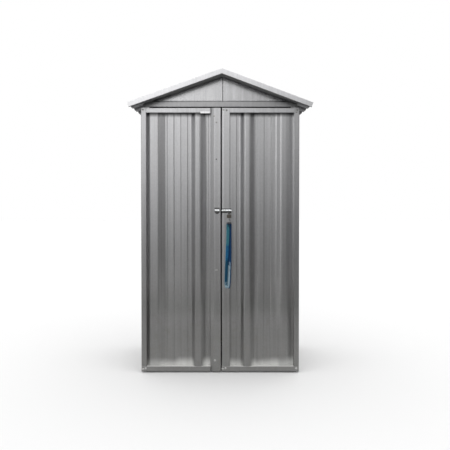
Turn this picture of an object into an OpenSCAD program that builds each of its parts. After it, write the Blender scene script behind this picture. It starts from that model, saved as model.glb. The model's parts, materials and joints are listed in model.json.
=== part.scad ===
// Galvanised tool shed: two framed doors, ribbed sheet walls and a pitched sheet roof.
// Units are millimetres, +Z is up, the doors face -Y and the ground is z = 0.

/* [Doors] */
// Width across the two closed doors
front_w = 970; // [900:5:1100]
// Height of each door leaf
door_h = 1623; // [1400:1:1800]
// Clear height under the doors
door_clear = 6; // [5:0.5:15]
// Gap between the two meeting stiles
meeting_gap = 7; // [6:0.5:10]
// How far the meeting line stands to the right of the middle
meeting_at = 7; // [0:0.5:12]
// Depth of a door frame, front to back
door_t = 30; // [28:0.5:40]
// Face width of the outer stiles
outer_stile_w = 32; // [30:1:44]
// Face width of the right door's meeting stile
right_meeting_w = 49; // [44:1:58]
// Width of the eased edge of that face beside the meeting line
right_ease_w = 8; // [6:0.5:12]
// How far that eased edge falls back
right_ease_d = 1.6; // [1:0.1:2.5]
// Flat face width of the left door's meeting stile
left_meeting_w = 41; // [38:1:54]
// Width of the bevel beside the left meeting stile's face
left_bevel_w = 22; // [12:1:26]
// How far that bevel falls back
left_bevel_d = 9; // [4:0.5:14]
// Height of the top rails' faces
top_rail_h = 30; // [24:1:44]
// Height of the bottom rails' faces
bottom_rail_h = 33; // [24:1:48]

/* [Sheet and frame stock] */
// Thickness of the ribbed sheet
sheet_t = 0.6; // [0.5:0.1:1.2]
// Thickness of the folded frame members
frame_t = 1.2; // [1:0.1:2]
// Outer radius of the folds in frame members and trims
fold_r = 2.5; // [1.5:0.1:3.5]
// Width of the lips along the open side of a folded member
lip_w = 8; // [6:0.5:11]
// Depth of the main ribs in the doors and walls
rib_h = 26; // [18:0.5:27]
// Width of a main rib's crest
rib_crest_w = 34; // [26:1:42]
// Width taken by each side of a main rib in the walls and the roof
rib_run = 26; // [18:1:28]
// Width taken by the side of a door's main rib that faces left
rib_left_run = 22; // [18:1:28]
// Width taken by the side of a door's main rib that faces right
rib_right_run = 30; // [22:1:34]
// How far the bends at a rib's crest and foot reach along its sides
rib_bend = 7; // [3:0.5:9]
// Depth of the low rib beside each outer stile
low_rib_h = 14; // [8:0.5:18]
// Depth of the stiffening steps between the ribs
step_h = 2.4; // [1.5:0.1:4]
// Width taken by the side of a step
step_run = 6; // [4:0.5:9]
// Distance from one step to the next
step_pitch = 42; // [36:1:46]
// Distance from a main rib to the first step beside it
step_from_rib = 64; // [58:1:66]

/* [Door ribs] */
// Main rib of the left door, from the inner edge of its meeting stile
left_rib_at = 77; // [74:1:90]
// Main rib of the right door, from the inner edge of its meeting stile
right_rib_at = 105; // [90:1:112]
// Low rib of the left door, from the inner edge of its outer stile
left_low_at = 47; // [47:1:56]
// Low rib of the right door, from the inner edge of its outer stile
right_low_at = 62; // [58:1:70]
// Crest width of the left door's low rib
left_low_crest = 52; // [36:1:52]
// Crest width of the right door's low rib
right_low_crest = 40; // [30:1:44]
// Side of the left low rib that faces the meeting stile
left_low_in = 38; // [20:1:42]
// Side of the right low rib that faces the meeting stile
right_low_in = 25; // [18:1:34]
// Side of the left low rib that faces the outer stile
left_low_out = 19; // [12:1:20]
// Side of the right low rib that faces the outer stile
right_low_out = 30; // [20:1:36]

/* [Hinges] */
// Gap between the closed doors and the front posts
door_seat_gap = 7; // [7:0.5:10]
// How far the side walls stand in from the doors' outer edges
wall_inset = 13; // [12:0.5:16]
// Radius of the hinge knuckles
knuckle_r = 5; // [4.5:0.1:5.5]
// Radius of the hinge pins
pin_r = 2.5; // [2:0.1:3]
// Running clearance around a hinge pin
pin_clear = 0.05; // [0.02:0.01:0.1]
// Thickness of the hinge leaves
leaf_t = 1.5; // [1.2:0.1:2]
// Height of a hinge
hinge_h = 70; // [60:1:100]
// Height of a hinge's middle knuckle
hinge_mid = 25; // [18:1:30]
// Distance of the end hinges from the ends of the door
hinge_end = 160; // [100:5:260]
// Width of the hinge leaf on the post
post_leaf_w = 24; // [18:1:26]

/* [Latch] */
// Height of the bolt above the ground
latch_z = 999; // [800:1:1150]
// Length of the bolt's back plate
plate_len = 56; // [52:1:66]
// Height of the keeper's back plate
plate_h = 38; // [34:1:46]
// Height of the bolt's back plate
bolt_plate_h = 27; // [24:1:34]
// Thickness of the back plates
plate_t = 1.5; // [1.2:0.1:2.5]
// Radius of the bolt
bolt_r = 7; // [6:0.1:7.5]
// Clearance of the bolt in its guides
guide_clear = 0.4; // [0.2:0.05:0.8]
// Thickness of the guide straps
strap_t = 2; // [1.5:0.1:2.5]
// Width of a guide strap
guide_w = 9; // [7:0.5:11]
// Clear height around the bolt in its keeper
keeper_clear = 2; // [1.5:0.1:3]
// Length of the keeper's strap
keeper_w = 28; // [22:1:32]
// Distance of the keeper's plate from the left door's meeting edge
keeper_edge = 7; // [6:0.5:9]
// How far the drawn bolt stays clear of the left door
tip_clear = 5; // [5:0.5:7]
// Thickness of the bolt's handle
fin_t = 3.5; // [3:0.1:4]
// Width of the padlock's body
lock_w = 26; // [22:1:30]
// Height of the padlock's body
lock_h = 18; // [15:1:26]
// Thickness of the padlock's body
lock_d = 10; // [8:0.5:12]
// Radius of the padlock's shackle wire
shackle_r = 2.2; // [1.8:0.1:2.5]
// Radius of the key ring's centre line
ring_r = 7; // [6:0.5:10]

/* [Lanyard] */
// Height of the lanyard's lowest point above the ground
lanyard_foot = 522; // [450:1:640]
// Width of the two straps where they lie together
lanyard_w = 35; // [30:1:44]
// Width of one strap in the open loop
strap_w = 13; // [9:0.5:13]
// Thickness of the lanyard
lanyard_t = 3; // [2:0.5:5]
// How far the loop's foot hangs to the left
lanyard_lean = 11; // [0:1:14]

/* [Walls] */
// Depth from the front posts' faces to the back wall's face
body_d = 630; // [560:5:800]
// Side of the square posts and depth of the rails
post_w = 36; // [32:1:44]
// Height of the base rails
base_h = 35; // [28:1:50]
// Gap between the doors' tops and the header
header_gap = 9; // [6:0.5:14]
// Height of the header and the top rails
header_h = 34; // [28:1:44]
// Least distance between the ribs of the walls
wall_rib_pitch = 215; // [205:5:260]
// Thickness of the gable sheets
gable_t = 0.8; // [0.6:0.1:1.5]
// Open seam around the gable sheets
gable_seam = 4; // [2:0.5:6]
// How far the seam between the front gable sheets stands to the right of the middle
gable_seam_at = 16; // [0:1:24]
// Depth of the gables' folded edges
gable_fold = 12; // [8:1:20]

/* [Roof] */
// Slope of the roof
roof_pitch = 20; // [16:0.5:24]
// How far the roof meets the side walls below the top of the front header
eave_drop = 18; // [10:0.5:24]
// How far the ridge stands to the right of the middle
ridge_at = 11; // [0:1:16]
// Width over the tips of the roof
roof_w = 1113; // [1050:1:1200]
// How far the roof stands out in front of the doors
front_overhang = 100; // [70:1:110]
// How far the roof stands out behind the back wall
back_overhang = 45; // [30:1:70]
// Depth of the roof ribs
roof_rib_h = 26; // [18:0.5:30]
// Least distance between the roof ribs
roof_rib_pitch = 180; // [170:5:240]
// Width of the half rib along each edge of a roof sheet
roof_edge_w = 36; // [24:1:48]
// Height of the verge trims' faces
verge_face = 31; // [28:0.5:36]
// Width of the verge trims' top flanges
verge_flange = 30; // [20:1:40]
// Width of the verge trims' bottom lips
verge_lip = 10; // [6:0.5:16]
// Thickness of the verge trims and the ridge cap
trim_t = 0.8; // [0.6:0.1:1.5]
// Width of each wing of the ridge cap
ridge_wing = 75; // [50:1:110]
// How far the ridge cap's bend reaches down each wing
ridge_bend = 0.5; // [0.2:0.1:2]
// Distance of the roof sheets' lower edges from the verge tips
eave_back = 6; // [2:0.5:12]

/* [Hidden] */
// Gap left where pieces are seated on each other
seat = 0.2;
// Radial stand of the knuckles from the door's back and from the post
knuckle_stand = 0.5;
post_stand = 1;
// Smoothness of round faces
$fn = 40;

right_edge = meeting_gap / 2 + meeting_at;
left_edge = meeting_gap / 2 - meeting_at;
door_top = door_clear + door_h;
wall_x = front_w / 2 - wall_inset;
header_z = door_top + header_gap;
wall_top = header_z + header_h;
roof_len = front_overhang + door_t + door_seat_gap + body_d + back_overhang;
verge_y = -roof_len / 2;
door_y = verge_y + front_overhang;
post_y = door_y + door_t + door_seat_gap;
back_y = post_y + body_d;
hinge_x = wall_x + post_stand + knuckle_r;
hinge_y = door_y + door_t + knuckle_stand + knuckle_r;
hinge_zs = [door_clear + hinge_end, door_clear + door_h / 2, door_top - hinge_end];
leaf_clear = knuckle_r + 1.5;

left_stile_w = left_meeting_w + left_bevel_w;
left_fill_w = front_w / 2 - left_edge - left_stile_w - outer_stile_w;
right_fill_w = front_w / 2 - right_edge - right_meeting_w - outer_stile_w;
fill_h = door_h - top_rail_h - bottom_rail_h;

roof_crest = roof_rib_h + sheet_t;
trim_w = roof_crest + seat + trim_t;
ridge_h = wall_x * tan(roof_pitch);
side_top = wall_top - eave_drop;
ridge_z = side_top + seat + ridge_h;
right_pitch = atan(ridge_h / (wall_x - ridge_at));
left_pitch = atan(ridge_h / (wall_x + ridge_at));

bolt_y = door_y - plate_t - guide_clear - bolt_r;
plate_x = right_edge + 1;
guide_a = plate_x + 2;
guide_b = plate_x + plate_len - 2 - guide_w;
fin_x = guide_b - 1 - fin_t / 2;
eye_r = shackle_r + 1.3;
eye_y = bolt_y - 1.5;
eye_z = latch_z - bolt_r - 8.5;
wire_z = eye_z - (eye_r - shackle_r - seat);
bend_r = 6;
lock_top = wire_z - bend_r - 3;
lock_foot = lock_top - lock_h;
key_z = lock_foot - 7.5;
key_r = 5.5;
key_hole_r = 2.5;
ring_wire = 0.8;
ring_top = key_z - 1 - (key_hole_r - ring_wire - seat);
ring_z = ring_top - ring_r;
loop_r = 2.5;
loop_z = ring_z - ring_r + 2 * ring_wire + seat - loop_r;
clamp_top = loop_z - loop_r;
clamp_h = 10;
lanyard_top = clamp_top - clamp_h;

// Corner points of one rib or bead: centre, crest width, the widths of both sides, depth, bend.
function bump(b) = [
    [b[0] - b[1] / 2 - b[2], 0, b[5]],
    [b[0] - b[1] / 2, b[4], b[5]],
    [b[0] + b[1] / 2, b[4], b[5]],
    [b[0] + b[1] / 2 + b[3], 0, b[5]]
];
function main_rib(at, in_run, out_run) = bump([at, rib_crest_w, in_run, out_run, rib_h, rib_bend]);

// A step up to, or down from, the stiffening level; and the steps from one place to another.
function step(at, from, to) = [[at - step_run / 2, from, 0], [at + step_run / 2, to, 0]];
function steps_in(from, to) = max(0, floor((to - step_run - from) / step_pitch) + 1);
function steps(from, to) = [
    for (i = [0 : 1 : steps_in(from, to) - 1])
        each step(from + i * step_pitch, (i % 2) * step_h, (1 - i % 2) * step_h)
];
function backwards(points) = [for (i = [len(points) - 1 : -1 : 0]) points[i]];

// A corner rounded by cutting it back along both sides, but never past the middle of a side.
function flat(p) = [p[0], p[1]];
function cut_back(p, v, back) = p + v * min(0.45, back / norm(v));
function bent(a, p, b, t) = (1 - t) * (1 - t) * a + 2 * t * (1 - t) * p + t * t * b;
function soft_corner(a, p, b, back) = [
    for (t = [0 : 0.25 : 1]) bent(cut_back(p, a - p, back), p, cut_back(p, b - p, back), t)
];

// A line whose corners are cut back by their third values, and a closed ring with even corners.
function soft_line(points) = [
    for (i = [0 : len(points) - 1]) each points[i][2] == 0
        ? [flat(points[i])]
        : soft_corner(flat(points[i - 1]), flat(points[i]), flat(points[i + 1]), points[i][2])
];
function soft_ring(p, back) = [
    for (i = [0 : len(p) - 1]) each soft_corner(p[(i + len(p) - 1) % len(p)], p[i], p[(i + 1) % len(p)], back)
];

// Outline across a door sheet, counted from its meeting stile. The low rib is given as its distance
// from the outer stile, its crest and its two sides.
function door_line(w, at, in_run, out_run, low) = soft_line(concat(
    [[0, step_h, 0]],
    step(at - step_from_rib, step_h, 0),
    main_rib(at, in_run, out_run),
    steps(at + step_from_rib, w - low[0] - low[1] / 2 - low[2]),
    low_rib(w - low[0], low, steps_in(at + step_from_rib, w - low[0] - low[1] / 2 - low[2]) % 2 * step_h),
    [[w, 0, 0]]
));
function low_rib(at, low, from) = [
    [at - low[1] / 2 - low[2], from, rib_bend],
    [at - low[1] / 2, low_rib_h, rib_bend],
    [at + low[1] / 2, low_rib_h, rib_bend],
    [at + low[1] / 2 + low[3], 0, rib_bend]
];

// Outline across a wall sheet: evenly spaced ribs with a raised strip between each two.
function wall_line(w, n) = soft_line(concat(
    [[0, 0, 0]],
    [for (i = [0 : n - 1]) each concat(
        main_rib(w * (i + 0.5) / n, rib_run, rib_run),
        i < n - 1 ? strip(w * (i + 1) / n) : []
    )],
    [[w, 0, 0]]
));
function strip(at) = concat(step(at - step_pitch / 2, 0, step_h), step(at + step_pitch / 2, step_h, 0));

// Outline across a roof sheet: half ribs at both edges and whole ones between.
function roof_line(w, n) = soft_line(concat(
    [[0, roof_rib_h, 0], [roof_edge_w, roof_rib_h, rib_bend], [roof_edge_w + rib_run, 0, rib_bend]],
    [for (i = [1 : n]) each bump([w * i / (n + 1), rib_crest_w, rib_run, rib_run, roof_rib_h, rib_bend])],
    [[w - roof_edge_w - rib_run, 0, rib_bend], [w - roof_edge_w, roof_rib_h, rib_bend], [w, roof_rib_h, 0]]
));

// Sheet of the given outline: width along X, ribs rising along +Y, running up Z.
module ribbed(line, run) {
    linear_extrude(run)
        polygon(concat(line, [for (p = backwards(line)) [p[0], p[1] + sheet_t]]));
}

// Flat outline w by d with round corners.
module folded(w, d, r) {
    translate([r, 0])
        square([w - 2 * r, d]);
    translate([0, r])
        square([w, d - 2 * r]);
    for (x = [r, w - r], y = [r, d - r])
        translate([x, y])
            circle(r);
}

// Ring between two such outlines, t thick.
module folded_ring(w, d, t) {
    difference() {
        folded(w, d, fold_r);
        translate([t, t])
            folded(w - 2 * t, d - 2 * t, fold_r - t);
    }
}

// Folded member with a face w wide on y = 0, d deep, open with lips at the back, running up Z.
module channel(w, d, run) {
    linear_extrude(run)
        difference() {
            folded_ring(w, d, frame_t);
            translate([lip_w, d / 2])
                square([w - 2 * lip_w, d]);
        }
}

// The same member lying along X, its face height h standing on z = 0.
module channel_x(h, d, run) {
    translate([0, 0, h])
        rotate([0, 90, 0])
            channel(h, d, run);
}

// Square tube standing on z = 0 with its corner at the origin.
module post() {
    linear_extrude(header_z - base_h)
        folded_ring(post_w, post_w, frame_t);
}

module left_side() {
    mirror([1, 0, 0])
        children();
}

module back_side() {
    translate([0, post_y + back_y, 0])
        mirror([0, 1, 0])
            children();
}

// Base and top rails.
module front_rail(z, h) {
    translate([-wall_x, post_y, z])
        channel_x(h, post_w, 2 * wall_x);
}

module right_rail(z, h) {
    translate([wall_x, post_y + post_w + seat, z])
        rotate([0, 0, 90])
            channel_x(h, post_w, body_d - 2 * post_w - 2 * seat);
}

module front_sill() {
    color("silver") front_rail(0, base_h);
}

module back_base_rail() {
    color("silver") back_side() front_rail(0, base_h);
}

module right_base_rail() {
    color("silver") right_rail(0, base_h);
}

module left_base_rail() {
    color("silver") left_side() right_rail(0, base_h);
}

// Header whose ends are cut to the slopes of the roof.
module header() {
    difference() {
        front_rail(header_z, header_h);
        over_slope(ridge_at, right_pitch);
        left_side() over_slope(-ridge_at, left_pitch);
    }
}

module front_header() {
    color("silver") header();
}

module back_header() {
    color("silver") back_side() header();
}

module right_top_rail() {
    color("silver") right_rail(side_top - header_h, header_h);
}

module left_top_rail() {
    color("silver") left_side() right_top_rail();
}

// Posts at the four corners.
module front_right_post() {
    color("silver")
        translate([wall_x - post_w, post_y, base_h])
            post();
}

module front_left_post() {
    color("silver") left_side() front_right_post();
}

module back_right_post() {
    color("silver") back_side() front_right_post();
}

module back_left_post() {
    color("silver") left_side() back_right_post();
}

// Ribbed walls between the posts.
module right_wall() {
    w = body_d - 2 * post_w - 2 * seat;
    n = floor(w / wall_rib_pitch);
    color("gainsboro")
        translate([wall_x - seat - rib_h - sheet_t, post_y + post_w + seat, base_h + seat])
            mirror([0, 1, 0])
                rotate([0, 0, -90])
                    ribbed(wall_line(w, n), side_top - header_h - base_h - 2 * seat);
}

module left_wall() {
    left_side() right_wall();
}

module back_wall() {
    w = 2 * (wall_x - post_w) - 2 * seat;
    n = floor(w / wall_rib_pitch);
    color("gainsboro")
        translate([-w / 2, back_y - seat - rib_h - sheet_t, base_h + seat])
            ribbed(wall_line(w, n), header_z - base_h - 2 * seat);
}

// Height of a gable's sloping edge: p is the pitch beyond the ridge at x = at, q the pitch before it.
function gable_top(x, at, p, q) = ridge_z - gable_seam - (x > at ? (x - at) * tan(p) : (at - x) * tan(q));

// Gable sheet from x = inner to the eave, with folded edges, drawn flat in the XZ plane and turned up.
module gable(inner, at, p, q) {
    foot = wall_top + gable_seam;
    far = at + (ridge_z - gable_seam - foot) / tan(p);
    apex = inner < at ? [[at, gable_top(at, at, p, q)]] : [];
    translate([0, post_y + gable_t, 0])
        rotate([90, 0, 0])
            linear_extrude(gable_t)
                polygon(concat([[inner, foot], [far, foot]], apex, [[inner, gable_top(inner, at, p, q)]]));
    translate([inner, post_y, wall_top])
        cube([far - inner - 2 * gable_fold, gable_fold, gable_t]);
    translate([inner, post_y + gable_fold - gable_t, wall_top])
        cube([far - inner - 2 * gable_fold, gable_t, gable_seam + gable_t]);
    translate([inner, post_y, foot])
        cube([far - inner - 2 * gable_fold, gable_fold, gable_t]);
}

module gable_edge(inner, at, p, q) {
    foot = wall_top + gable_seam;
    translate([inner, post_y, foot])
        cube([gable_t, gable_fold, gable_top(inner, at, p, q) - foot - 1]);
}

module front_gable_right() {
    color("gainsboro") {
        gable(gable_seam_at + gable_seam / 2, ridge_at, right_pitch, left_pitch);
        gable_edge(gable_seam_at + gable_seam / 2, ridge_at, right_pitch, left_pitch);
    }
}

module front_gable_left() {
    color("gainsboro")
        left_side() {
            gable(gable_seam / 2 - gable_seam_at, -ridge_at, left_pitch, right_pitch);
            gable_edge(gable_seam / 2 - gable_seam_at, -ridge_at, left_pitch, right_pitch);
        }
}

module back_gable() {
    color("gainsboro")
        back_side() {
            gable(0, ridge_at, right_pitch, left_pitch);
            left_side() gable(0, -ridge_at, left_pitch, right_pitch);
        }
}

// Roof. A slope runs down to the right from the ridge at x = at; the left one is mirrored.
module slope(at, p) {
    translate([at, 0, ridge_z])
        rotate([0, p, 0])
            children();
}

// Everything above such a slope's underside and a seat's clearance.
module over_slope(at, p) {
    slope(at, p)
        translate([0, -roof_len, -seat])
            cube([roof_w, 2 * roof_len, 2 * header_h]);
}

function tip_u(at, p) = (roof_w / 2 - at - trim_w * sin(p)) / cos(p);

module roof_sheet(at, p) {
    w = roof_len - 2 * fold_r - 2 * seat;
    n = max(1, floor(w / roof_rib_pitch) - 1);
    color("gainsboro")
        slope(at, p)
            translate([1, -w / 2, 0])
                rotate([90, 0, 90])
                    ribbed(roof_line(w, n), tip_u(at, p) - eave_back - 1);
}

module right_roof_sheet() {
    roof_sheet(ridge_at, right_pitch);
}

module left_roof_sheet() {
    left_side() roof_sheet(-ridge_at, left_pitch);
}

module ridge_cap() {
    low = ridge_z + (roof_crest + seat) / cos(right_pitch);
    rise = trim_t / cos(right_pitch);
    run = roof_len - 2 * verge_flange - 2 * seat;
    line = soft_line([
        [ridge_at - ridge_wing, low - ridge_wing * tan(left_pitch), 0],
        [ridge_at, low, ridge_bend],
        [ridge_at + ridge_wing, low - ridge_wing * tan(right_pitch), 0]
    ]);
    color("silver")
        translate([0, run / 2, 0])
            rotate([90, 0, 0])
                linear_extrude(run)
                    polygon(concat(line, [for (p = backwards(line)) [p[0], p[1] + rise]]));
}

module verge(at, p) {
    difference() {
        slope(at, p)
            translate([-2 * verge_face, verge_y, trim_w - verge_face])
                rotate([90, 0, 90])
                    linear_extrude(tip_u(at, p) + 2 * verge_face)
                        difference() {
                            folded_ring(verge_flange + verge_face, verge_face, trim_t);
                            translate([verge_flange, -1])
                                square([2 * verge_face, verge_face + 2]);
                            translate([verge_lip, -1])
                                square([verge_flange, verge_face / 2]);
                        }
        translate([at - roof_w + seat / 2, verge_y - 1, wall_top])
            cube([roof_w, verge_flange + 2, 2 * ridge_z]);
    }
}

module front_right_verge() {
    color("white") verge(ridge_at, right_pitch);
}

module front_left_verge() {
    color("white") left_side() verge(-ridge_at, left_pitch);
}

module back_right_verge() {
    color("white") mirror([0, 1, 0]) verge(ridge_at, right_pitch);
}

module back_left_verge() {
    color("white") left_side() mirror([0, 1, 0]) verge(-ridge_at, left_pitch);
}

// Hinges: the pin is fast in the door's knuckles and turns in the post's.
module door_hinges() {
    half = (hinge_h - hinge_mid) / 2 - knuckle_stand;
    inner_x = front_w / 2 - outer_stile_w + 1;
    for (z = hinge_zs)
        translate([hinge_x, hinge_y, z]) {
            cylinder(r = pin_r, h = hinge_h, center = true);
            translate([inner_x - hinge_x, -knuckle_r - knuckle_stand, -hinge_h / 2])
                cube([hinge_x - leaf_clear - inner_x, leaf_t, hinge_h]);
            for (low = [-hinge_h / 2, hinge_h / 2 - half])
                translate([0, 0, low]) {
                    cylinder(r = knuckle_r, h = half);
                    translate([-leaf_clear, -knuckle_r - knuckle_stand, 0])
                        cube([leaf_clear, leaf_t, half]);
                }
        }
}

module post_hinges() {
    for (z = hinge_zs)
        translate([hinge_x, hinge_y, z]) {
            difference() {
                union() {
                    cylinder(r = knuckle_r, h = hinge_mid, center = true);
                    translate([wall_x - hinge_x, 0, -hinge_mid / 2])
                        cube([leaf_t, leaf_clear + 1, hinge_mid]);
                }
                cylinder(r = pin_r + pin_clear, h = hinge_h, center = true);
            }
            translate([wall_x - hinge_x, leaf_clear, -hinge_h / 2])
                cube([leaf_t, post_leaf_w, hinge_h]);
        }
}

module right_post_hinges() {
    color("gray") post_hinges();
}

module left_post_hinges() {
    color("gray") left_side() post_hinges();
}

module right_door_hinges() {
    color("gray") door_hinges();
}

module left_door_hinges() {
    color("gray") left_side() door_hinges();
}

// Door pieces, drawn as the right door's from the given distance to the middle; the left door's are mirrored.
module leaf(from) {
    translate([from, door_y, door_clear])
        children();
}

module outer_stile() {
    leaf(front_w / 2 - outer_stile_w)
        translate([0, 0, bottom_rail_h])
            channel(outer_stile_w, door_t, door_h - bottom_rail_h);
}

module top_rail(from) {
    leaf(from)
        translate([0, 0, door_h - top_rail_h])
            channel_x(top_rail_h, door_t, front_w / 2 - outer_stile_w - from);
}

module bottom_rail(from) {
    leaf(from)
        channel_x(bottom_rail_h, door_t, front_w / 2 - from);
}

module door_sheet(from, line) {
    leaf(from + seat)
        translate([0, seat + rib_h + sheet_t, bottom_rail_h + seat])
            mirror([0, 1, 0])
                ribbed(line, fill_h - 2 * seat);
}

// Meeting stile of the outline that its child draws, once whole and once drawn in.
module meeting_stile(w, run) {
    linear_extrude(run)
        difference() {
            children(0);
            children(1);
            translate([lip_w, door_t / 2])
                square([w - 2 * lip_w, door_t]);
        }
}

// Outline of the right meeting stile, drawn in by t.
module eased(t) {
    fall = atan(right_ease_d / right_ease_w);
    polygon(soft_ring([
        [t, right_ease_d + t * (1 / cos(fall) - tan(fall))],
        [right_ease_w + t * tan(fall / 2), t],
        [right_meeting_w - t, t],
        [right_meeting_w - t, door_t - t],
        [t, door_t - t]
    ], fold_r - t));
}

module right_door_outer_stile() {
    color("lightgray") outer_stile();
}

module right_door_meeting_stile() {
    color("lightgray")
        leaf(right_edge)
            translate([0, 0, bottom_rail_h])
                meeting_stile(right_meeting_w, door_h - bottom_rail_h) {
                    eased(0);
                    eased(frame_t);
                }
}

module right_door_top_rail() {
    color("lightgray") top_rail(right_edge + right_meeting_w);
}

module right_door_bottom_rail() {
    color("lightgray") bottom_rail(right_edge);
}

module right_door_sheet() {
    color("gainsboro")
        door_sheet(right_edge + right_meeting_w, door_line(right_fill_w - 2 * seat, right_rib_at,
            rib_left_run, rib_right_run, [right_low_at, right_low_crest, right_low_in, right_low_out]));
}

// Outline of the left meeting stile, drawn in by t.
module bevelled(t) {
    fall = atan(left_bevel_d / left_bevel_w);
    polygon(soft_ring([
        [t, t],
        [left_meeting_w - t * tan(fall / 2), t],
        [left_stile_w - t, left_bevel_d + t * (1 / cos(fall) - tan(fall))],
        [left_stile_w - t, door_t - t],
        [t, door_t - t]
    ], fold_r - t));
}

module left_door_outer_stile() {
    color("lightgray") left_side() outer_stile();
}

module left_door_meeting_stile() {
    color("lightgray")
        left_side()
            leaf(left_edge)
                meeting_stile(left_stile_w, door_h) {
                    bevelled(0);
                    bevelled(frame_t);
                }
}

module left_door_top_rail() {
    color("lightgray") left_side() top_rail(left_edge + left_stile_w);
}

module left_door_bottom_rail() {
    color("lightgray") left_side() bottom_rail(left_edge + left_stile_w);
}

module left_door_sheet() {
    color("gainsboro")
        left_side()
            door_sheet(left_edge + left_stile_w, door_line(left_fill_w - 2 * seat, left_rib_at,
                rib_right_run, rib_left_run, [left_low_at, left_low_crest, left_low_in, left_low_out]));
}

// Bolt, its guides and its keeper. A strap is an arch over the bolt, open to the back plate.
module strap(x, w, clear) {
    inner = bolt_r + clear;
    outer = inner + strap_t;
    back = door_y - plate_t - bolt_y;
    translate([x, bolt_y, latch_z])
        rotate([90, 0, 90])
            linear_extrude(w)
                difference() {
                    union() {
                        circle(outer);
                        translate([0, -outer])
                            square([back, 2 * outer]);
                    }
                    circle(inner);
                    translate([0, -inner])
                        square([back + 1, 2 * inner]);
                    translate([back, -2 * outer])
                        square([4 * outer, 4 * outer]);
                }
}

module bolt_housing() {
    deep = 3 * bolt_r;
    color("silver") {
        translate([plate_x, door_y - plate_t, latch_z - bolt_plate_h / 2])
            cube([plate_len, plate_t, bolt_plate_h]);
        difference() {
            strap(guide_a, guide_b + guide_w - guide_a, guide_clear);
            translate([guide_a + guide_w, door_y - plate_t - deep, latch_z - deep])
                cube([guide_b - guide_a - guide_w, deep, deep - 2]);
        }
    }
}

module bolt_keeper() {
    x = -left_edge - keeper_edge;
    color("silver") {
        translate([x - keeper_w / 2 - 2, door_y, latch_z])
            rotate([90, 0, 0])
                linear_extrude(plate_t) {
                    translate([0, keeper_w / 2 + 2 - plate_h / 2])
                        circle(keeper_w / 2 + 2);
                    translate([-keeper_w / 2 - 2, keeper_w / 2 + 2 - plate_h / 2])
                        square([keeper_w + 4, plate_h - keeper_w / 2 - 2]);
                }
        strap(x - keeper_w - 2, keeper_w, keeper_clear);
    }
}

module bolt() {
    tip = tip_clear - left_edge;
    color("silver")
        difference() {
            union() {
                translate([tip, bolt_y, latch_z])
                    rotate([0, 90, 0])
                        cylinder(r = bolt_r, h = plate_x + plate_len + 3 - tip);
                translate([fin_x - fin_t / 2, eye_y - eye_r - 2, eye_z - eye_r - 2.5])
                    cube([fin_t, 2 * eye_r + 4, latch_z - eye_z + eye_r + 2.5]);
            }
            translate([fin_x, eye_y, eye_z])
                rotate([0, 90, 0])
                    cylinder(r = eye_r, h = 2 * fin_t, center = true);
        }
}

// Padlock hanging open-keyed in the bolt's handle, with its key and ring.
module padlock() {
    color("goldenrod")
        translate([fin_x, eye_y, 0]) {
            translate([-lock_w / 2, -lock_d / 2, lock_foot])
                cube([lock_w, lock_d, lock_h]);
            for (s = [-1, 1])
                translate([s * bend_r, 0, lock_top - 1])
                    cylinder(r = shackle_r, h = wire_z - bend_r - lock_top + 1);
            translate([0, 0, wire_z - bend_r])
                rotate([90, 0, 0])
                    rotate_extrude(angle = 180)
                        translate([bend_r, 0])
                            circle(shackle_r);
        }
}

module key_and_ring() {
    color("silver")
        translate([fin_x, eye_y, 0]) {
            difference() {
                union() {
                    translate([0, 0, key_z])
                        rotate([0, 90, 0])
                            cylinder(r = key_r, h = 2, center = true);
                    translate([-1, -2, key_z])
                        cube([2, 4, lock_foot - key_z]);
                }
                translate([0, 0, key_z - 1])
                    rotate([0, 90, 0])
                        cylinder(r = key_hole_r, h = 4, center = true);
            }
            translate([0, 0, ring_z])
                rotate([90, 0, 0])
                    rotate_extrude()
                        translate([ring_r, 0])
                            circle(ring_wire, $fn = 16);
            translate([0, 0, loop_z])
                rotate([0, 90, 0])
                    rotate_extrude()
                        translate([loop_r, 0])
                            circle(ring_wire, $fn = 16);
            translate([-lock_w / 2, -3, lanyard_top])
                cube([lock_w, 6, clamp_h]);
        }
}

// Lanyard: two straps lying together above, parting into a loop below.
module lanyard() {
    part_z = lanyard_foot + (lanyard_top - lanyard_foot) * 0.4;
    half = lanyard_w / 2;
    slot_foot = lanyard_foot + 1.3 * strap_w;
    color("royalblue")
        translate([fin_x, eye_y + lanyard_t / 2, 0])
            rotate([90, 0, 0])
                linear_extrude(lanyard_t)
                    difference() {
                        polygon([
                            [-lock_w / 2, lanyard_top], [lock_w / 2, lanyard_top],
                            [half, lanyard_top - lanyard_w], [half, part_z],
                            [half - 0.6 * lanyard_lean, lanyard_foot + 0.4 * strap_w],
                            [half - lanyard_lean, lanyard_foot],
                            [-half, lanyard_foot],
                            [-half - lanyard_lean, lanyard_foot + 0.4 * strap_w],
                            [-half, part_z], [-half, lanyard_top - lanyard_w]
                        ]);
                        polygon([
                            [0.3 * strap_w, part_z],
                            [half - 0.45 * strap_w, part_z - strap_w],
                            [half - 0.6 * lanyard_lean - 0.4 * strap_w, slot_foot],
                            [-half - lanyard_lean + strap_w, slot_foot],
                            [-half + strap_w, part_z - strap_w]
                        ]);
                    }
}

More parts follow.
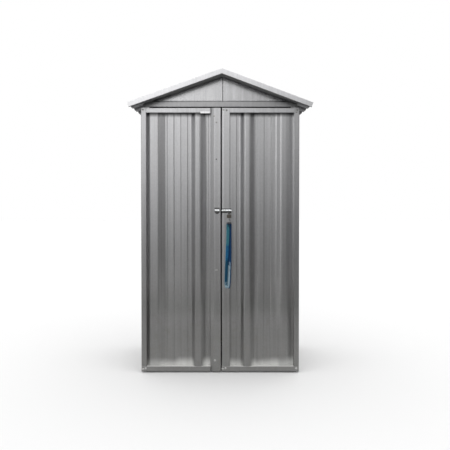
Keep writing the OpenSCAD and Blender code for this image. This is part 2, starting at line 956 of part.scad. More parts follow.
front_sill();
left_base_rail();
right_base_rail();
back_base_rail();
front_left_post();
front_right_post();
back_left_post();
back_right_post();
front_header();
left_top_rail();
right_top_rail();
back_header();
left_wall();
right_wall();
back_wall();
front_gable_left();
front_gable_right();
back_gable();
left_roof_sheet();
right_roof_sheet();
ridge_cap();
front_left_verge();
front_right_verge();
back_left_verge();
back_right_verge();
left_post_hinges();
right_post_hinges();
left_door_outer_stile();
left_door_meeting_stile();
left_door_top_rail();
left_door_bottom_rail();
left_door_sheet();
left_door_hinges();
bolt_keeper();
right_door_outer_stile();
right_door_meeting_stile();
right_door_top_rail();
right_door_bottom_rail();
right_door_sheet();
right_door_hinges();
bolt_housing();
bolt();
padlock();
key_and_ring();
lanyard();
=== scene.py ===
# %% [markdown]
# # A galvanised tool shed
# The shed's solids come in as a fixed frame: every sheet, rail and door leaf already has its size and place.
# This lesson dresses that frame. It adds light, zinc finishes, fixings, and the woven lanyard on the bolt.
# Starting from exact solids means that only small things are left to fit.

# %% Load the frame
import json
import math

import bmesh
import bpy
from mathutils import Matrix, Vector


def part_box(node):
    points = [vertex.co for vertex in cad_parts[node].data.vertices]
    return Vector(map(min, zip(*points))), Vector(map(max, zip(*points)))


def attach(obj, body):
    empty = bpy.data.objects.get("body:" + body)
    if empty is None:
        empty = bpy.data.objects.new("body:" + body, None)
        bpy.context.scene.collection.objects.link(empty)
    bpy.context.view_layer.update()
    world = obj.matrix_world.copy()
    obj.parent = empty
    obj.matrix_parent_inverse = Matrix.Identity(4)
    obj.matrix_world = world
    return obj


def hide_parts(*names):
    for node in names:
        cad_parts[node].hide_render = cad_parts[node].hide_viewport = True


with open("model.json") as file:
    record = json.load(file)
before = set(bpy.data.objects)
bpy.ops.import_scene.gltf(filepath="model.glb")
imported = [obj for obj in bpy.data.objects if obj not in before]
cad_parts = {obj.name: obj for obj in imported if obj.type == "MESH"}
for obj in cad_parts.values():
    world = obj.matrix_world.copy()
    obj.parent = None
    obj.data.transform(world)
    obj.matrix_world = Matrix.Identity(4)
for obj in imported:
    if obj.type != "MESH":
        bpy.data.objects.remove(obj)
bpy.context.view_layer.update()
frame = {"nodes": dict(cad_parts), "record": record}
nodes = frame["nodes"]

# %% [markdown]
# ## Camera
# The shed is seen square on, from about chest height and four metres away, so the gable shows no side wall.
# A short distance would splay the verges, and a very long one would hide the dark soffit under the roof.
# The camera looks down by about a degree, and the lens shift does the rest of the framing, so the uprights
# stay almost parallel.

# %% Camera
door_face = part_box("right_door_outer_stile")[0].y
camera_reach = 4.0
eye_height = 1.2
look_down = 1.2
scene = bpy.context.scene
camera = bpy.data.objects.new("camera", bpy.data.cameras.new("camera"))
scene.collection.objects.link(camera)
camera.location = (0, door_face - camera_reach, eye_height)
camera.rotation_euler = (math.radians(90 - look_down), 0, 0)
camera.data.sensor_width = 36
camera.data.lens = 52.19
camera.data.shift_x = 0.0107
camera.data.shift_y = -0.0741
scene.camera = camera
scene.view_settings.view_transform = "Standard"
print("camera stands", round(-camera.location.y, 3), "m in front of the shed's middle")

# %% [markdown]
# ## Writing shader maths as sums
# Node trees grow long when every addition is laid out by hand.
# One small class wraps a socket, so that a plain Python sum adds the Math nodes.
# A second class holds a tree and lays out any node from its type, its settings and its sockets.

# %% A wire and a bench
class Wire:
    """A node's output that can be used in sums."""

    def __init__(self, bench, socket):
        self.bench = bench
        self.socket = socket

    def math(self, operation, first, second=0.0):
        return self.bench.node("ShaderNodeMath", {"operation": operation}, {0: first, 1: second})

    def __add__(self, other):
        return self.math("ADD", self, other)

    def __sub__(self, other):
        return self.math("SUBTRACT", self, other)

    def __rsub__(self, other):
        return self.math("SUBTRACT", other, self)

    def __mul__(self, other):
        return self.math("MULTIPLY", self, other)

    def __abs__(self):
        return self.math("ABSOLUTE", self)

    def sign(self):
        return self.math("SIGN", self)

    __radd__ = __add__
    __rmul__ = __mul__


class Bench:
    """A node tree, cleared, with one method that lays out any node."""

    def __init__(self, tree):
        self.tree = tree
        tree.nodes.clear()

    def node(self, kind, settings=None, sockets=None, out=0):
        """Settings are set first. A socket takes a value, a wire or a list of wires."""
        made = self.tree.nodes.new(kind)
        for name, value in (settings or {}).items():
            setattr(made, name, value)
        for name, value in (sockets or {}).items():
            for one in value if isinstance(value, list) else [value]:
                if isinstance(one, Wire):
                    self.tree.links.new(one.socket, made.inputs[name])
                else:
                    made.inputs[name].default_value = one
        if isinstance(out, tuple):
            return [Wire(self, made.outputs[o]) for o in out]
        return Wire(self, made.outputs[out]) if len(made.outputs) else None

    def parts(self, vector):
        """The three numbers of a vector."""
        return self.node("ShaderNodeSeparateXYZ", {}, {0: vector}, out=(0, 1, 2))


print("bench ready")

# %% [markdown]
# Four small helpers cover most of what a finish needs: a smooth step, the larger of two masks, a mix of two
# colours, and soft noise. Each finds its bench from the wires that it is given.

# %% Helpers for finishes
def ease(value, start, end, low=0.0, high=1.0):
    """A value that goes smoothly from low to high between start and end."""
    ends = {"From Min": start, "From Max": end, "To Min": low, "To Max": high}
    return value.bench.node("ShaderNodeMapRange", {"interpolation_type": "SMOOTHSTEP"},
                            {"Value": value, **ends})


def larger(first, second):
    """The larger of two values."""
    return first.math("MAXIMUM", first, second)


def blend(share, first, second, how="MIX"):
    """Two colours mixed by share, of which at least one is a wire."""
    bench = next(item.bench for item in (share, first, second) if isinstance(item, Wire))
    return bench.node("ShaderNodeMix", {"data_type": "RGBA", "blend_type": how},
                      {0: share, 6: first, 7: second}, out=2)


def cloud(place, scale, detail=2.0, rough=0.5):
    """Soft noise from 0 to 1, about 0.5 on average."""
    return place.bench.node("ShaderNodeTexNoise", {}, {"Vector": place, "Scale": scale, "Detail": detail,
                                                       "Roughness": rough})


print("helpers ready: ease, larger, blend, cloud")

# %% [markdown]
# ## Soft studio light
# Bare zinc has little colour of its own: it shows the room. So the room is designed, not only its lamps.
# A broad soft window stands in front to the left, the sides stay darker so that the ribs' sloping sides
# read, and the wall behind the shed is white. Below the horizon the room in front is dim. One sky that
# changes with direction does all of this, without lamps that would mirror as hard spots in the sheet.

# %% The room as a sky
studio = bpy.data.worlds.new("studio")
scene.world = studio
studio.use_nodes = True
sky = Bench(studio.node_tree)
across, along, up = sky.parts(sky.node("ShaderNodeTexCoord", out="Generated"))

# The turn is the angle from straight in front, in radians, to the right when positive.
# Each ease raises or lowers the room's light between two turns.
turn = across.math("ARCTAN2", across, along * -1.0)
side_wall = 0.58
window = side_wall + ease(turn, -0.60, -0.22, 0.0, 1.14) - ease(turn, -0.13, 0.15, 0.0, 1.17)
window = window + ease(turn, 0.25, 0.6, 0.0, 0.28) - ease(turn, 0.95, 1.6, 0.0, 0.55)

# The window's sill is a little higher on the right.
above_sill = up - ease(turn, -0.25, 0.25, -0.035, 0.035)
level = window * ease(above_sill, -0.035, 0.14, 0.07, 1.0) + ease(turn, 0.05, -0.15, 0.0, 0.07)
back_wall, ceiling, skylight = 1.0, 1.2, 0.25
level = level + (back_wall - level) * ease(along, 0.35, 0.80)
level = level + (ceiling - level) * ease(up, 0.30, 0.62)
level = level + ease(up, 0.70, 1.0, 0.0, skylight)
glow = sky.node("ShaderNodeBackground", {}, {"Color": (1, 1, 1, 1), "Strength": level})
sky.node("ShaderNodeOutputWorld", {}, {"Surface": glow})
print("sky: back wall", back_wall, "ceiling", ceiling, "to", ceiling + skylight)

# %% [markdown]
# ## Floor
# A plain pale floor lies under and behind the shed and carries its soft shadow, like the paper sheet under
# a product in a studio. It ends just in front of the picture, so the lower half of the doors mirrors the
# dim lower part of the room.

# %% Floor
def finish_bench(name, kind=Bench):
    """A new material and its bench."""
    material = bpy.data.materials.new(name)
    material.use_nodes = True
    return material, kind(material.node_tree)


def surface(bench, **sockets):
    """The shader that ends a finish. Sockets are named with _ for spaces."""
    shader = bench.node("ShaderNodeBsdfPrincipled", {}, {k.replace("_", " "): v for k, v in sockets.items()})
    bench.node("ShaderNodeOutputMaterial", {}, {"Surface": shader})


def mesh_piece(name, points, faces, material):
    """A new object at the origin, its place in its mesh."""
    mesh = bpy.data.meshes.new(name)
    mesh.from_pydata(points, [], faces)
    mesh.materials.append(material)
    piece = bpy.data.objects.new(name, mesh)
    scene.collection.objects.link(piece)
    return piece


floor_finish, bench = finish_bench("studio_floor")
surface(bench, Base_Color=(0.88, 0.88, 0.88, 1), Roughness=0.9, Specular_IOR_Level=0.0)
floor_z = -0.001
right_rim = [(1.1, -1.5), (1.6, -0.3), (9.0, 0.6), (12.0, 14.0)]
rim = right_rim + [(-x, y) for x, y in reversed(right_rim)]
floor = mesh_piece("studio_floor", [(x, y, floor_z) for x, y in rim], [tuple(range(len(rim)))], floor_finish)
print("floor corners:", len(rim))

# %% [markdown]
# ## Zinc
# Rolled zinc-coated sheet shows fine streaks along the rolling direction, a faint crystal pattern called
# spangle, and cloudy oxide that makes the gloss uneven. It could be painted as a picture, but noise in the
# shed's own coordinates gives every sheet its own pattern at true scale. Noise drawn out along the height
# makes the streaks. A bench for sheet metal keeps these at hand, with each point's place and facing.

# %% A bench for sheet metal
class SheetBench(Bench):
    """A bench that knows where a point lies, where it faces, what the weather did there, and where shade is
    painted near the ground.
    """

    def __init__(self, tree):
        super().__init__(tree)
        self.place = self.node("ShaderNodeTexCoord", out="Object")
        self.width, self.depth, self.height = self.parts(self.place)
        self.face_x, self.face_y, self.face_z = self.parts(self.node("ShaderNodeTexCoord", out="Normal"))
        self.run = self.drawn(0.014, 1.4, 4.0)
        self.haze = cloud(self.place, 3.0, 4.0, 0.55) - 0.5
        # Three masks near the ground: where painted shade darkens the zinc and soil may lie, dried film and
        # specks of soil.
        self.splash = ease(self.height, 0.60, 0.20)
        self.film = ease(self.height, 0.42, 0.14)
        self.soil = self.splash * ease(cloud(self.place, 22.0, 5.0, 0.65), 0.5, 0.72)

    def drawn(self, width, length, detail):
        """Noise drawn out along the rolling direction, from about -0.5 to 0.5. Sizes are in metres."""
        scaled = self.node("ShaderNodeVectorMath", {"operation": "MULTIPLY"},
                           {0: self.place, 1: (1 / width, 1 / width, 1 / length)})
        return cloud(scaled, 1.0, detail) - 0.5


print("sheet bench ready")

# %% [markdown]
# The zinc is painted darker as shade near the ground and on faces that look at the sky, and its tint is
# painted cooler towards the top as a reflection of the sky. On the doors, a pale painted highlight lies in
# the foot of the pans above the bottom rails. It also lies on every ledge near the ground. These are masks
# from height and facing, so they stay true from any side.

# %% Weathered grey, painted shade and painted highlight
pan_depth = 0.022
# The soil colour is real dirt; the pale colour is a painted highlight for low ledges and the foot of the
# pans.
ground_soil, glow_white = (0.16, 0.15, 0.13, 1), (0.80, 0.80, 0.78, 1)


def weathered_and_shaded(bench, tone, clouds):
    """The streaked grey of zinc with soil near the ground, painted darker as shade low down and on
    sky-facing faces, and painted cooler towards the top as a reflection of the sky.
    """
    crystal = bench.node("ShaderNodeTexVoronoi", {}, {"Vector": bench.place, "Scale": 110.0}, out="Color")
    flake = bench.parts(crystal)[0] - 0.5
    thread = bench.drawn(0.006, 0.7, 1.0)
    value = 1.0 + flake * 0.06 + bench.run * 0.26 + thread * 0.16 + bench.haze * clouds
    # Painted shade: darker near the ground, darker towards the bottom, and darker on faces that look at the
    # sky.
    value = value * (1.0 - bench.splash * 0.58) * tone
    value = value * ease(bench.height, 0.3, 1.35, 0.78, 1.0) * ease(bench.face_z, 0.2, 0.8, 1.0, 0.68)
    # A painted reflection of the sky: the tint turns cooler towards the top.
    tint = blend(ease(bench.height, 0.0, 1.1), (1.0, 0.995, 0.975, 1), (0.985, 0.985, 1.0, 1))
    grey = bench.node("ShaderNodeCombineXYZ", {}, {0: value, 1: value, 2: value})
    return blend(bench.soil * 0.3, blend(1.0, tint, grey, "MULTIPLY"), ground_soil)


def painted_glow_mask(bench, in_pans):
    """Where the pale painted highlight lies: on low ledges, and on the doors in the foot of the pans."""
    painted_glow = ease(bench.face_z, 0.4, 0.8) * ease(bench.height, 0.12, 0.05)
    if in_pans:
        glow_line = bench.height + bench.drawn(0.11, 3.0, 1.0) * 0.05
        painted_glow = painted_glow + ease(glow_line, 0.100, 0.036) * ease(bench.depth, door_face, door_face + pan_depth) * 0.8
    return painted_glow


print("weathered grey and lime ready")

# %% [markdown]
# The hidden faces, under the roof and inside the verges, are painted dull grey as shade, darker still out at
# the eaves. So are the outer edges of the doors. A painted shadow darkens the corner under the doors' top
# rails, and one stile has a scuff. A slow ripple in the normal breaks the mirror image, as thin sheet does.
# One function puts all of this together, because every sheet of the shed is the same metal.

# %% Zinc finish
# Dull greys of painted shade, the darker one for out at the eaves.
shade_grey, eave_shade_grey = (0.23, 0.232, 0.235, 1), (0.10, 0.101, 0.106, 1)
# Near-black painted shadow for under the doors' top rails, and the bright of a real scuff.
rail_shadow_dark, rubbed_bright = (0.02, 0.02, 0.02, 1), (0.86, 0.86, 0.85, 1)


def shaded_faces(bench, shade_facings, edges, inner_shade):
    """Where painted shade goes: undersides, and outer edges or inner faces where asked."""
    painted_shade = ease(bench.face_z, *shade_facings)
    if edges:
        painted_shade = larger(painted_shade, ease(bench.width.sign() * bench.face_x, 0.2, 0.6))
    if inner_shade:
        painted_shade = larger(painted_shade, ease(bench.depth.sign() * bench.face_y, -0.3, -0.7))
    return painted_shade


def scuffed(bench, colour, x, z):
    """A bright rubbed patch about 20 mm wide."""
    beside = abs(bench.width - x)
    over = abs(bench.height - z + bench.run * 0.004)
    rubbed = ease(beside, 0.011, 0.005) * ease(over, 0.0055, 0.0015)
    return blend(rubbed * 0.9, colour, rubbed_bright)


def zinc(name, tone, rough=0.30, clouds=0.10, ripple=0.0012, bare=0.95, shade_facings=(-0.35, -0.75), inner_shade=False,
         edges=False, rail_z=None, scuff=None):
    """Zinc sheet. Painted shade on downward faces starts and is full at the two facings given for it.

    A door's sheet has the height at which it meets its top rail in rail_z, and is painted darker just below
    it as shadow.
    """
    material, bench = finish_bench(name, SheetBench)
    colour = weathered_and_shaded(bench, tone, clouds)
    if rail_z:
        # A painted shadow darkens the sheet just under its top rail.
        corner = ease(bench.height + bench.run * 0.012, rail_z - 0.030, rail_z - 0.004)
        colour = blend(corner * 0.85, colour, rail_shadow_dark)
    # A pale painted highlight on low ledges and at the foot of the door pans.
    painted_glow = painted_glow_mask(bench, in_pans=bool(rail_z))
    colour = blend(painted_glow * 0.9, colour, glow_white)
    if scuff:
        colour = scuffed(bench, colour, *scuff)
    # Painted shade: undersides, and outer edges or inner faces where asked, darker out at the eaves.
    painted_shade = shaded_faces(bench, shade_facings, edges, inner_shade)
    shade_colour = blend(ease(abs(bench.width), 0.36, 0.47), shade_grey, eave_shade_grey)
    bump = bench.node("ShaderNodeBump", {}, {"Strength": 1.0, "Distance": ripple,
                                             "Height": bench.drawn(0.07, 2.2, 1.0)})
    surface(bench, Base_Color=blend(painted_shade * 0.95, colour, shade_colour), Normal=bump,
            Roughness=rough + bench.haze * 0.03 + bench.run * 0.04 + bench.film * 0.18 + painted_shade * 0.3,
            Metallic=bare - painted_shade * bare * 0.85 - bench.film * 0.38 - bench.soil * 0.15 - painted_glow * 0.35)
    return material


print("zinc ready")

# %% [markdown]
# Each kind of piece gets its own tone of zinc: the folded frames are a little brighter than the sheets, the
# header is painted darker as the shade under the roof, and the verges and the ridge cap are newer, bright
# trim.
# The gable is the smoothest.

# %% Dressing the sheets and frames
def dress(material, *names):
    """Gives solids their finish."""
    for name in names:
        nodes[name].material_slots[0].material = material


by_slot = {}
for part in frame["record"]["subparts"]:
    by_slot.setdefault(part["material_slot"], []).append(part["node"])
frame_tone, frame_ripple = 0.68, 0.0006
sheet_tone = 0.66
dress(zinc("wall_sheet_zinc", sheet_tone), *by_slot["galvanised_sheet"])
dress(zinc("folded_frame_zinc", frame_tone, ripple=frame_ripple), *by_slot["galvanised_frame"])
dress(zinc("bright_trim_zinc", 0.86, 0.31, ripple=0.0004, inner_shade=True), *by_slot["galvanised_trim"])
dress(zinc("gable_zinc", 0.64, 0.225, clouds=0.18, ripple=0.0008, bare=0.85),
      "front_gable_left", "front_gable_right", "back_gable")
dress(zinc("door_sheet_zinc", sheet_tone, rail_z=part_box("left_door_sheet")[1].z),
      "left_door_sheet", "right_door_sheet")
dress(zinc("roof_sheet_zinc", sheet_tone, shade_facings=(-0.10, -0.40)), "left_roof_sheet", "right_roof_sheet")
# The outer stiles' side-facing edges are painted darker as shade.
dress(zinc("door_edge_zinc", 0.61, ripple=frame_ripple, edges=True),
      "left_door_outer_stile", "right_door_outer_stile")
# The header's darker tone is painted shade under the roof.
dress(zinc("header_zinc", 0.47, ripple=frame_ripple), "front_header", "back_header")
scuff_spot = (-0.024, 0.634)
dress(zinc("worn_stile_zinc", frame_tone, ripple=frame_ripple, scuff=scuff_spot), "left_door_meeting_stile")
print("zinc on", sum(len(v) for k, v in by_slot.items() if k.startswith("galvanised")), "pieces")

# %% [markdown]
# ## Plated steel and brass
# The bolt is bright plated steel: smoother than the zinc and almost a mirror. The hinges are plated too,
# but dulled by weather. The padlock's body is old brass gone brown. Fine scratches and finger marks are
# noise in the roughness, which is where the eye finds them on polished metal. Painted shade darkens the
# undersides, the lower half of the bolt's pieces and the plates behind the bolt, and the clamp below the key
# is dark.

# %% Plated finishes
def plated(name, colour, stain_and_shade, rough, tarnish=0.3, below=-1.0, behind=9.0):
    """Plated metal with tarnished patches. Undersides, what lies below a height and what lies behind a depth
    (in metres) are darkened: painted shade, and below a height also a dark part's own colour.
    """
    material, bench = finish_bench(name)
    place = bench.node("ShaderNodeTexCoord", out="Object")
    scored = bench.node("ShaderNodeVectorMath", {"operation": "MULTIPLY"}, {0: place, 1: (120, 900, 900)})
    fine = cloud(scored, 1.0, 3.0) - 0.5
    marks = cloud(place, 90.0, 4.0, 0.6)
    depth, height = bench.parts(place)[1:]
    underside_shade = ease(bench.parts(bench.node("ShaderNodeTexCoord", out="Normal"))[2], 0.05, -0.45)
    foot = ease(height, below + 0.001, below - 0.001)
    plate = ease(depth, behind - 0.0005, behind)
    tarnish_and_shade = ease(marks, 0.48, 0.7) * tarnish
    # Undersides and plates behind a depth get painted shade; below a height is painted shade on the bolt and
    # the clamp's own dark on the key.
    for shade_and_dark_part in (underside_shade, foot, plate):
        tarnish_and_shade = larger(tarnish_and_shade, shade_and_dark_part * 0.9)
    bump = bench.node("ShaderNodeBump", {}, {"Strength": 0.15, "Distance": 0.0004, "Height": fine + marks})
    surface(bench, Base_Color=blend(tarnish_and_shade, colour, stain_and_shade), Roughness=rough + fine * 0.12 + tarnish_and_shade * 0.4,
            Metallic=1.0 - tarnish_and_shade * 0.6, Normal=bump)
    return material


housing_low, housing_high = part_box("bolt_housing")
clamp_low, clamp_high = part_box("key_and_ring")
clamp_height = 0.0105
# The bolt's lower half and the plates behind it are painted darker as shade.
bolt_chrome = plated("bolt_chrome", (0.80, 0.82, 0.83, 1), (0.035, 0.034, 0.032, 1), 0.16,
                     below=(housing_low.z + housing_high.z) / 2 - 0.002, behind=door_face - 0.003)
key_steel = plated("key_steel", (0.62, 0.63, 0.64, 1), (0.012, 0.018, 0.030, 1), 0.25,
                   below=clamp_low.z + clamp_height)
hinge_steel = plated("hinge_steel", (0.50, 0.50, 0.49, 1), (0.26, 0.22, 0.18, 1), 0.36, tarnish=0.5)
lock_brass = plated("lock_brass", (0.165, 0.15, 0.13, 1), (0.026, 0.025, 0.023, 1), 0.38, tarnish=0.8)
dress(hinge_steel, *by_slot["hinge_steel"])
dress(bolt_chrome, *by_slot["bolt_chrome"])
dress(key_steel, "key_and_ring")
dress(lock_brass, "padlock")
print("plated pieces:", len(by_slot["hinge_steel"]) + len(by_slot["bolt_chrome"]) + 1)

# %% [markdown]
# ## Rivets and screws
# The door frames are held at their corners by blind rivets: a low dome on a thin flange.
# They repeat, so Geometry Nodes place one head on each point of a small point cloud.
# Each point carries the direction that its face looks in, and the head turns to it.
# A roof screw is the same thing with a hexagon for its head and a washer for its flange.

# %% Fixing trees
def tree_with(name, sizes):
    """A geometry tree with a geometry input, named inputs and a geometry output."""
    tree = bpy.data.node_groups.new(name, "GeometryNodeTree")
    tree.interface.new_socket("Geometry", in_out="INPUT", socket_type="NodeSocketGeometry")
    for label, (kind, value) in sizes.items():
        made = tree.interface.new_socket(label, in_out="INPUT", socket_type=kind)
        if value is not None:
            made.default_value = value
    tree.interface.new_socket("Geometry", in_out="OUTPUT", socket_type="NodeSocketGeometry")
    return tree, Bench(tree)


def fixing_tree(name, round_sides, head_sides=0):
    """A head on a flange, set on every point and turned to the point's face. No head sides give a dome."""
    tree, bench = tree_with(name, {"Head radius": ("NodeSocketFloat", 0.003),
                                   "Head height": ("NodeSocketFloat", 0.0014),
                                   "Flange radius": ("NodeSocketFloat", 0.0045),
                                   "Flange height": ("NodeSocketFloat", 0.0006),
                                   "Finish": ("NodeSocketMaterial", None)})
    points, radius, height, flange, rim, finish = bench.node("NodeGroupInput", out=(0, 1, 2, 3, 4, 5))
    if head_sides:
        head = bench.node("GeometryNodeMeshCylinder", {}, {"Vertices": head_sides, "Radius": radius,
                                                           "Depth": height})
    else:
        ball = bench.node("GeometryNodeMeshUVSphere", {}, {"Segments": round_sides, "Rings": 6,
                                                           "Radius": 1.0})
        size = bench.node("ShaderNodeCombineXYZ", {}, {0: radius, 1: radius, 2: height})
        head = bench.node("GeometryNodeTransform", {}, {"Geometry": ball, "Scale": size})
    seat = bench.node("ShaderNodeCombineXYZ", {}, {2: rim})
    head = bench.node("GeometryNodeTransform", {}, {"Geometry": head, "Translation": seat})
    disc = bench.node("GeometryNodeMeshCylinder", {}, {"Vertices": round_sides, "Radius": flange,
                                                       "Depth": rim})
    both = bench.node("GeometryNodeJoinGeometry", {}, {0: [head, disc]})
    facing = bench.node("GeometryNodeInputNamedAttribute", {"data_type": "FLOAT_VECTOR"}, {"Name": "facing"})
    turned = bench.node("FunctionNodeAlignRotationToVector", {"axis": "Z"}, {"Vector": facing})
    heads = bench.node("GeometryNodeInstanceOnPoints", {}, {"Points": points, "Rotation": turned,
                                                            "Instance": both})
    real = bench.node("GeometryNodeRealizeInstances", {}, {0: heads})
    done = bench.node("GeometryNodeSetMaterial", {}, {"Geometry": real, "Material": finish})
    bench.node("NodeGroupOutput", {}, {0: done})
    return tree


rivet_tree = fixing_tree("blind_rivets", round_sides=14)
screw_tree = fixing_tree("hex_roof_screws", round_sides=14, head_sides=6)
print("fixing trees:", rivet_tree.name, screw_tree.name)

# %% [markdown]
# A helper turns a list of points and facings into one plain mesh for each body. The tree's inputs are set
# by their identifiers, the tree is worked out once, and its result becomes the piece's own mesh.

# %% Setting fixings
def fixings(name, body, tree, finish, spots, slot="hinge_steel", **sizes):
    """One mesh of fixings that rides on a body. Spots are (point, facing) pairs in metres."""
    mesh = bpy.data.meshes.new(name)
    mesh.from_pydata([point for point, facing in spots], [], [])
    store = mesh.attributes.new("facing", "FLOAT_VECTOR", "POINT")
    store.data.foreach_set("vector", [c for point, facing in spots for c in facing])
    piece = bpy.data.objects.new(name, mesh)
    scene.collection.objects.link(piece)
    modifier = piece.modifiers.new("fixings", "NODES")
    modifier.node_group = tree
    values = {label.replace("_", " "): value for label, value in sizes.items()}
    values["Finish"] = finish
    for item in tree.interface.items_tree:
        if item.in_out == "INPUT" and item.name in values:
            modifier[item.identifier] = values[item.name]
    shown = piece.evaluated_get(bpy.context.evaluated_depsgraph_get())
    solid = bpy.data.meshes.new_from_object(shown)
    piece.modifiers.remove(modifier)
    piece.data = solid
    bpy.data.meshes.remove(mesh)
    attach(piece, body)
    print(name, "heads:", len(spots), "faces:", len(solid.polygons))


rivet_steel = plated("rivet_steel", (0.62, 0.62, 0.61, 1), (0.05, 0.045, 0.04, 1), 0.30, tarnish=0.5)
print("finish of the fixings:", rivet_steel.name)

# %% [markdown]
# Where the doors' rivets sit is read off the real doors: most are at the frame corners, a few along the
# meeting stiles.

# %% Door rivets
forward = (0, -1, 0)


def on_doors(*spots):
    """Points on the doors' front faces from x and z in millimetres."""
    return [((x / 1000, door_face, z / 1000), forward) for x, z in spots]


left_spots = on_doors((-472, 1617), (-459, 27), (-38, 1580), (-23, 1540), (-32, 76), (-475, 22))
right_spots = on_doors((472, 1617), (466, 1604), (20, 1617), (39, 1614), (33, 27), (469, 27), (15, 24))
door_rivet = {"Head_radius": 0.0042, "Head_height": 0.0022, "Flange_radius": 0.0066, "Flange_height": 0.0008}
fixings("left_door_rivets", "left_door", rivet_tree, rivet_steel, left_spots, **door_rivet)
fixings("right_door_rivets", "right_door", rivet_tree, rivet_steel, right_spots, **door_rivet)

# %% [markdown]
# ## Marks of use
# The lower edge of the left door's top rail has been bent out beside the meeting stile. It is a short strip
# that leans forward, so it catches the light from above. Six points make one section of the strip, three
# down its back and three down its front, and the sections are joined along the rail.

# %% Bent edge of the left top rail
rail_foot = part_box("left_door_top_rail")[0].z
lip_sheet = 0.0008
lip_gap = 0.0002
lip_run = [(-0.121, 0.0022), (-0.112, 0.0036), (-0.085, 0.0042), (-0.0605, 0.0046)]
lip_points = []
for x, lean in lip_run:
    for up_by, out_by in ((0.0070, 0.0004), (0.0030, 0.3 * lean), (-0.0035, lean)):
        for thick in (0.0, lip_sheet):
            lip_points.append((x, door_face - out_by - lip_gap - thick, rail_foot + up_by))
around = (1, 3, 5, 4, 2, 0)
count = len(around)
last = len(lip_points) - count
lip_faces = [(1, 3, 2, 0), (3, 5, 4, 2)]
for start in range(0, last, count):
    for one, two in zip(around, around[1:] + around[:1]):
        lip_faces.append((start + one, start + count + one, start + count + two, start + two))
lip_faces += [(last, last + 2, last + 3, last + 1), (last + 2, last + 4, last + 5, last + 3)]
# The strip's zinc is a brighter tone than the rail's, a painted highlight on top of the light that its lean
# catches.
lip = mesh_piece("left_rail_bent_edge", lip_points, lip_faces, zinc("highlight_edge_zinc", 0.90))
outward = bmesh.new()
outward.from_mesh(lip.data)
bmesh.ops.recalc_face_normals(outward, faces=outward.faces)
outward.to_mesh(lip.data)
outward.free()
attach(lip, "left_door")
print("bent edge faces:", len(lip.data.polygons))

# %% [markdown]
# One rivet is gone from the left meeting stile and has left an open hole. At its size a dark disc, flush
# with the sheet, reads the same as a cut; its near-black is the painted shade inside the hole. The rivet's
# own tree makes it, with a flat head.

# %% Open hole
hole_dark, bench = finish_bench("open_hole")
surface(bench, Base_Color=(0.012, 0.012, 0.012, 1), Roughness=0.8, Specular_IOR_Level=0.1)
flush = 0.0003
fixings("left_door_open_hole", "left_door", rivet_tree, hole_dark, on_doors((-23, 1315)), slot=None,
        Head_radius=0.0034, Head_height=flush, Flange_radius=0.0036, Flange_height=flush)

# %% [markdown]
# ## Roof and wall fixings
# The roof is fixed from above with hexagon screws on washers, along the crests of its ribs, where water
# does not run. Each sheet's own surface is asked for the place and the facing of a screw: a straight look
# down from above the sheet gives both.

# %% Roof screws
down = Vector((0, 0, -1))
rib_shares = (-0.25, 0.0, 0.25)
slope_shares = (0.18, 0.56, 0.94)
slope_spots = []
for name in ("left_roof_sheet", "right_roof_sheet"):
    low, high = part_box(name)
    middle = (low + high) / 2
    for rib in rib_shares:
        for share in slope_shares:
            out = share if name.startswith("right") else 1.0 - share
            eye = Vector((low.x + out * (high.x - low.x), middle.y + rib * (high.y - low.y), high.z + 0.1))
            hit, place, facing, face = nodes[name].ray_cast(eye, down)
            slope_spots.append((tuple(place), tuple(facing)))
fixings("roof_screws", "shed", screw_tree, rivet_steel, slope_spots,
        Head_radius=0.0046, Head_height=0.006, Flange_radius=0.008, Flange_height=0.0022)

# %% [markdown]
# The side and back walls follow the doors' habit: rivets near the ends of each rail, and a row up each of
# the back corner posts.

# %% Wall rivets
to_left, to_right, to_back = (-1, 0, 0), (1, 0, 0), (0, 1, 0)
near_end, further_in = 0.02, 0.2
post_heights = (0.10, 0.55, 1.05, 1.56)
wall_spots = []
for name, facing in (("left_base_rail", to_left), ("right_base_rail", to_right),
                     ("left_top_rail", to_left), ("right_top_rail", to_right)):
    low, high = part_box(name)
    x = low.x if facing is to_left else high.x
    for y in (low.y + near_end, low.y + further_in, high.y - further_in, high.y - near_end):
        wall_spots.append(((x, y, (low.z + high.z) / 2), facing))
row_count, row_inset = 6, 0.055
for name in ("back_base_rail", "back_header"):
    low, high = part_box(name)
    pitch = (high.x - low.x - 2 * row_inset) / (row_count - 1)
    for k in range(row_count):
        wall_spots.append(((low.x + row_inset + k * pitch, high.y, (low.z + high.z) / 2), to_back))
for name, facing in (("back_left_post", to_left), ("back_right_post", to_right)):
    low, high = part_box(name)
    x = low.x if facing is to_left else high.x
    for z in post_heights:
        wall_spots.append((((low.x + high.x) / 2, high.y, z), to_back))
        wall_spots.append(((x, (low.y + high.y) / 2, z), facing))
fixings("wall_rivets", "shed", rivet_tree, rivet_steel, wall_spots)

# %% [markdown]
# ## Lanyard
# A neck lanyard of woven polyester tape hangs from the clamp: one long loop folded flat, its two legs lying
# over each other, one a little to the side. Tape this narrow keeps its width and bends easily, so it is
# modelled directly as a ribbon along a path. The front leg shows the dyed face, which fades from teal to
# deep blue. The leg behind it is navy at the top and shows the pale undyed side lower down.

# %% Lanyard tape
weave_shadow = (0.006, 0.02, 0.05, 1)


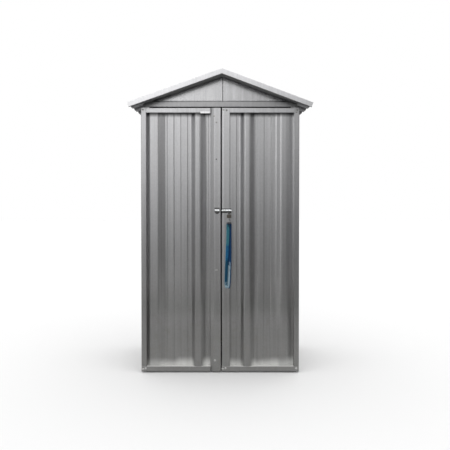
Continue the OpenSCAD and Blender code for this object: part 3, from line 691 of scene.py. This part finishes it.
def tape_finish(name, shades, edge, edge_from, edge_to):
    """Woven tape whose colour changes along its run. Shades are (metres along, colour) pairs."""
    material, bench = finish_bench(name)
    flat = bench.node("ShaderNodeUVMap")
    run, side = bench.parts(flat)[:2]
    rib = bench.node("ShaderNodeTexWave", {"wave_type": "BANDS", "bands_direction": "DIAGONAL"},
                     {"Vector": flat, "Scale": 160.0, "Distortion": 1.5, "Detail": 1.0}, out=1)
    patch = cloud(bench.node("ShaderNodeTexCoord", out="Object"), 60.0, 3.0)
    shifted = run + (patch - 0.5) * 0.09
    colour = shades[0][1]
    for metres, shade in shades[1:]:
        colour = blend(ease(shifted, metres - 0.015, metres + 0.015), colour, shade)
    colour = blend(ease(side, edge_from, edge_to), colour, edge)
    woven = blend(rib * 0.25 + ease(patch, 0.52, 0.75) * 0.35, colour, weave_shadow)
    bump = bench.node("ShaderNodeBump", {}, {"Strength": 0.4, "Distance": 0.0004, "Height": rib})
    surface(bench, Base_Color=woven, Roughness=0.7 + rib * 0.1, Normal=bump, Specular_IOR_Level=0.15)
    return material


teal, blue, deep = (0.05, 0.20, 0.25, 1), (0.014, 0.12, 0.26, 1), (0.006, 0.062, 0.115, 1)
pale, navy, dark = (0.36, 0.49, 0.56, 1), (0.009, 0.045, 0.13, 1), (0.006, 0.014, 0.035, 1)
front_shades = ((0, dark), (0.010, teal), (0.13, blue), (0.22, deep), (0.375, pale))
back_shades = ((0, deep), (0.38, pale), (0.54, navy), (0.77, dark))
dyed_face = tape_finish("lanyard_dyed_face", front_shades, pale, 0.15, 0.05)
pale_back = tape_finish("lanyard_pale_back", back_shades, navy, 0.66, 0.78)
print("tape shades:", len(front_shades), "in front,", len(back_shades), "behind")

# %% [markdown]
# Each station gives the tape's middle: across from the clamp, out from the door, and height, in millimetres.
# A smooth curve runs through the stations. The fold at the foot turns towards the door, so the loop stays
# shut.

# %% Lanyard path
hang_x = (clamp_low.x + clamp_high.x) / 2
top = clamp_low.z * 1000
stations = [
    (-6.6, 15, top + 2), (-7, 16, 900), (-8, 16, 840), (-11, 16, 770), (-14, 15.5, 700), (-17, 15, 620),
    (-18.5, 14.5, 560), (-16, 13.5, 538), (-9, 10.5, 527), (-3, 7.6, 532), (0, 6.6, 560), (3, 6.8, 620),
    (5, 7.2, 680), (5.5, 8, 740), (5.5, 9, 800), (5.5, 9.5, 860), (5, 10, top + 2),
]
steps = 8


def between(a, b, c, d, t):
    """A smooth step from b to c that heads the way its neighbours lie."""
    square = (2 * a - 5 * b + 4 * c - d) * t * t
    cube = (3 * b - a - 3 * c + d) * t ** 3
    return 0.5 * (2 * b + (c - a) * t + square + cube)


padded = [stations[0]] + stations + [stations[-1]]
path = []
for four in zip(padded, padded[1:], padded[2:], padded[3:]):
    for step in range(steps):
        path.append([between(*coordinate, step / steps) for coordinate in zip(*four)])
path.append(stations[-1])
middles = [Vector((hang_x + x / 1000, door_face - out / 1000, z / 1000)) for x, out, z in path]

# %% [markdown]
# The ribbon is a flat section of six corners swept along the path, with its width always across the shed.
# Its middle is a little crowned, as woven tape is. The UV map holds metres along and the share across, so
# the weave and the colours follow the tape. The side that faces the viewer on the front leg is the dyed one.

# %% Lanyard ribbon
tape_width, tape_thick = 0.020, 0.0009
section = ((-1, 1), (0, 1.25), (1, 1), (1, -1), (0, -0.75), (-1, -1))
dyed_sides = (3, 4)
ribbon_sweep = bmesh.new()
uv = ribbon_sweep.loops.layers.uv.new("tape")
rings = []
travel = 0.0
for i, middle in enumerate(middles):
    ahead = (middles[min(i + 1, len(middles) - 1)] - middles[max(i - 1, 0)]).normalized()
    wide = (Vector((1, 0, 0)) - ahead * ahead.x).normalized()
    lift = wide.cross(ahead).normalized()
    travel += (middle - middles[i - 1]).length if i else 0.0
    ring = []
    for across_by, lift_by in section:
        offset = wide * across_by * tape_width / 2 + lift * lift_by * tape_thick / 2
        ring.append(ribbon_sweep.verts.new(middle + offset))
    rings.append((travel, ring))
for (start, one), (end, two) in zip(rings, rings[1:]):
    for k in range(len(section)):
        n = (k + 1) % len(section)
        side_k, side_n = (section[k][0] + 1) / 2, (section[n][0] + 1) / 2
        face = ribbon_sweep.faces.new((one[k], one[n], two[n], two[k]))
        face.material_index = 0 if k in dyed_sides else 1
        face.smooth = True
        corners = ((start, side_k), (start, side_n), (end, side_n), (end, side_k))
        for loop, corner in zip(face.loops, corners):
            loop[uv].uv = corner
ribbon_sweep.faces.new(rings[0][1][::-1])
ribbon_sweep.faces.new(rings[-1][1])
bmesh.ops.recalc_face_normals(ribbon_sweep, faces=ribbon_sweep.faces)
ribbon = mesh_piece("lanyard_tape", [], [], dyed_face)
ribbon.data.materials.append(pale_back)
ribbon_sweep.to_mesh(ribbon.data)
ribbon_sweep.free()
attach(ribbon, "sliding_bolt")
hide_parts("lanyard")
print("lanyard faces:", len(ribbon.data.polygons))
